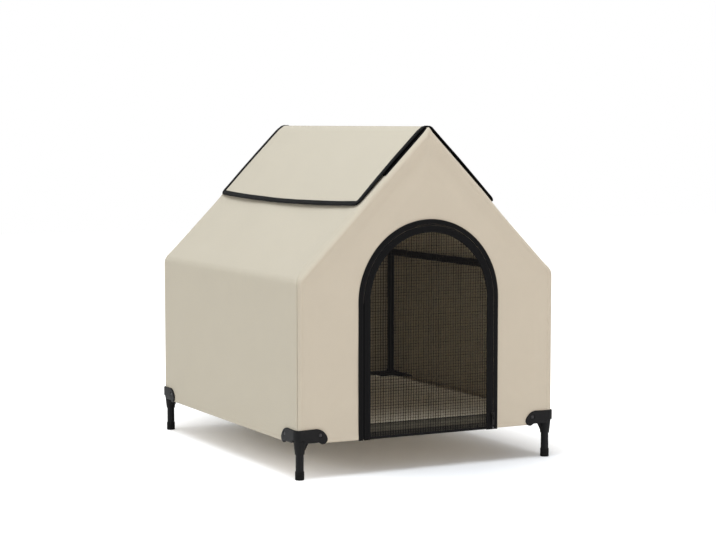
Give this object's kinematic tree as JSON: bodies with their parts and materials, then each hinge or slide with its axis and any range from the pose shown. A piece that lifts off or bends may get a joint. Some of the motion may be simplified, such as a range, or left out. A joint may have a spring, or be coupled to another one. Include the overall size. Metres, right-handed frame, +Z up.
{
  "type": "raised dog house",
  "caption": "Gabled dog house of coated cloth on a raised steel tube frame, with a slung bed, an arched zip mesh door and a lifting roof flap over a ridge vent.",
  "frame": {"origin": "on the floor under the middle of the house", "axes": "+Z up, +Y from the door to the back, along the ridge, +X to the right of someone facing the door"},
  "size_m": [0.709, 0.8407, 0.8172],
  "materials": {
    "powder_coated_steel": "satin powder coat",
    "moulded_plastic": "fine moulded texture",
    "foot_rubber": "matt",
    "cover_cloth": "plain weave, coated",
    "trim_binding": "woven tape",
    "mesh": "open screen weave",
    "bed_textile": "coated open weave",
    "hook_and_loop": "napped",
    "zip_coil": "satin",
    "zip_metal": "gunmetal",
    "screw_steel": "blackened"
  },
  "bodies": {
    "frame": {"base_rail_front": "powder_coated_steel", "base_rail_left": "powder_coated_steel", "base_rail_rear": "powder_coated_steel", "base_rail_right": "powder_coated_steel", "bed_sheet": "bed_textile", "bracket_screws": "screw_steel", "corner_bracket_front_left": "moulded_plastic", "corner_bracket_front_right": "moulded_plastic", "corner_bracket_rear_left": "moulded_plastic", "corner_bracket_rear_right": "moulded_plastic", "door_hinge_tape": "trim_binding", "door_surround": "trim_binding", "eave_connector_front_left": "moulded_plastic", "eave_connector_front_right": "moulded_plastic", "eave_connector_rear_left": "moulded_plastic", "eave_connector_rear_right": "moulded_plastic", "eave_rail_left": "powder_coated_steel", "eave_rail_right": "powder_coated_steel", "flap_ridge_strip": "cover_cloth", "foot_cap_front_left": "foot_rubber", "foot_cap_front_right": "foot_rubber", "foot_cap_rear_left": "foot_rubber", "foot_cap_rear_right": "foot_rubber", "front_panel": "cover_cloth", "left_panel": "cover_cloth", "leg_front_left": "powder_coated_steel", "leg_front_right": "powder_coated_steel", "leg_rear_left": "powder_coated_steel", "leg_rear_right": "powder_coated_steel", "post_front_left": "powder_coated_steel", "post_front_right": "powder_coated_steel", "post_rear_left": "powder_coated_steel", "post_rear_right": "powder_coated_steel", "rafter_front_left": "powder_coated_steel", "rafter_front_right": "powder_coated_steel", "rafter_rear_left": "powder_coated_steel", "rafter_rear_right": "powder_coated_steel", "rear_panel": "cover_cloth", "ridge_connector_front": "moulded_plastic", "ridge_connector_rear": "moulded_plastic", "ridge_rail": "powder_coated_steel", "ridge_strip_binding": "trim_binding", "ridge_vent": "mesh", "right_panel": "cover_cloth", "roof_loop_patches": "hook_and_loop", "zip_coil": "zip_coil"},
    "door": {"door_mesh": "mesh", "door_binding": "trim_binding"},
    "zip_slider": {"zip_slider": "zip_metal"},
    "zip_pull": {"zip_pull": "zip_metal"},
    "left_flap": {"left_flap": "cover_cloth", "left_flap_binding": "trim_binding", "left_hook_patches": "hook_and_loop"},
    "right_flap": {"right_flap": "cover_cloth", "right_flap_binding": "trim_binding", "right_hook_patches": "hook_and_loop"}
  },
  "joints": [
    {"name": "door_swing", "type": "hinge", "parent": "frame", "child": "door", "pos_m": [-0.1757, -0.4164, 0.245], "axis": [0, 0, -1], "range_deg": [0, 165]},
    {"name": "zip_slide", "type": "slide", "parent": "door", "child": "zip_slider", "axis": [0, 0, 1], "range_m": [0, 0.275]},
    {"name": "zip_pull_swing", "type": "hinge", "parent": "zip_slider", "child": "zip_pull", "pos_m": [0.176, -0.4198, 0.11825], "axis": [-1, 0, 0], "range_deg": [0, 150]},
    {"name": "left_flap_lift", "type": "hinge", "parent": "frame", "child": "left_flap", "pos_m": [-0.0221, 0, 0.80527], "axis": [0, 1, 0], "range_deg": [0, 120]},
    {"name": "right_flap_lift", "type": "hinge", "parent": "frame", "child": "right_flap", "pos_m": [0.0221, 0, 0.80527], "axis": [0, -1, 0], "range_deg": [0, 120]}
  ]
}
